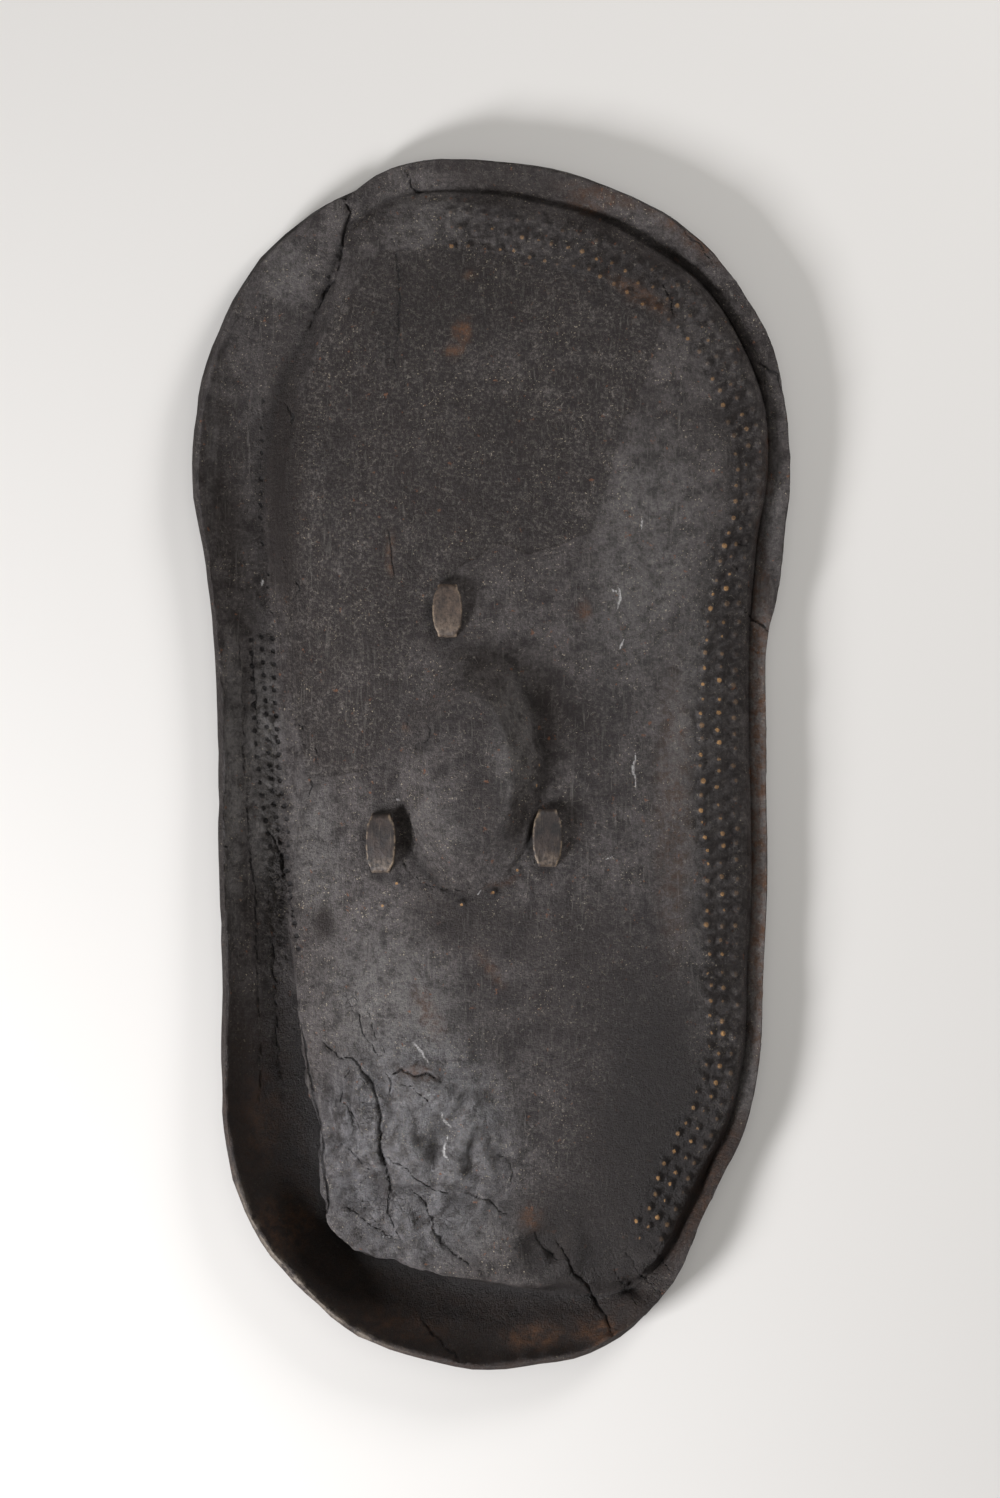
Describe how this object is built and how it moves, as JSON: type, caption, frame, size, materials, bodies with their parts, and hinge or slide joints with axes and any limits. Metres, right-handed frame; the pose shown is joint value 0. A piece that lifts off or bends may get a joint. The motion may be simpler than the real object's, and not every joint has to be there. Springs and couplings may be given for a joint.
{
  "type": "hide shield",
  "caption": "Long waisted shield moulded from thick dark rawhide: upturned rim, deep groove, domed field with an oval boss, embossed dots along the edge, threaded strap grip.",
  "frame": {"origin": "on the ground under the middle of the shield, which lies on its back with its front up", "axes": "+Z out of the front, +Y towards the end that is held uppermost, +X to the right as the front is seen"},
  "size_m": [0.5438, 1.101, 0.109],
  "materials": {
    "rawhide": "dark aged rawhide, dusty, with polished and worn patches",
    "strap_hide": "dry brown-grey hide, worn pale on its edges"
  },
  "bodies": {
    "root": {"hide": "rawhide", "grip_strap": "strap_hide"}
  },
  "joints": []
}
